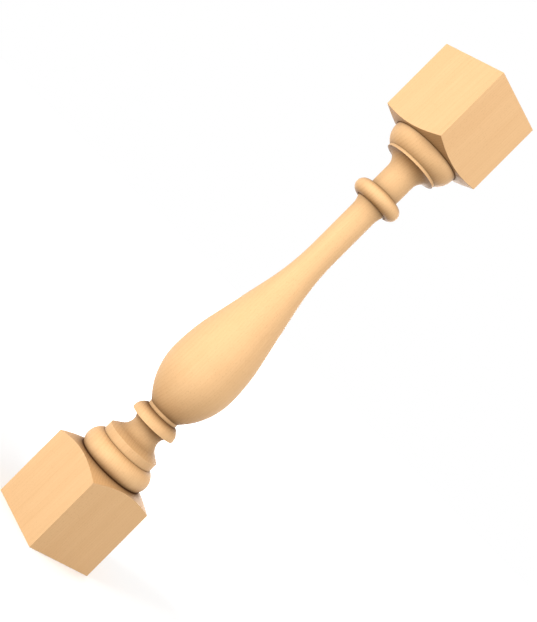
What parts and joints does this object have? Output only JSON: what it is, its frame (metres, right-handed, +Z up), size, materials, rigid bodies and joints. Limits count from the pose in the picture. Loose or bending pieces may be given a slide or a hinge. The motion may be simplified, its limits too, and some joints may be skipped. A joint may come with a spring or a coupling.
{
  "type": "stair baluster",
  "caption": "Turned wooden stair baluster with square end blocks, a vase-shaped middle and ring mouldings, made to stand between a base rail and a handrail.",
  "frame": {"origin": "centre of the bottom end face of the bottom block", "axes": "+Z runs up the turning axis from the bottom block to the top block; X and Y are square to the faces of the blocks"},
  "size_m": [0.1, 0.1, 0.73],
  "materials": {
    "wood": "pale close-grained hardwood, sanded smooth, matt clear finish"
  },
  "bodies": {
    "root": {"baluster": "wood"}
  },
  "joints": []
}
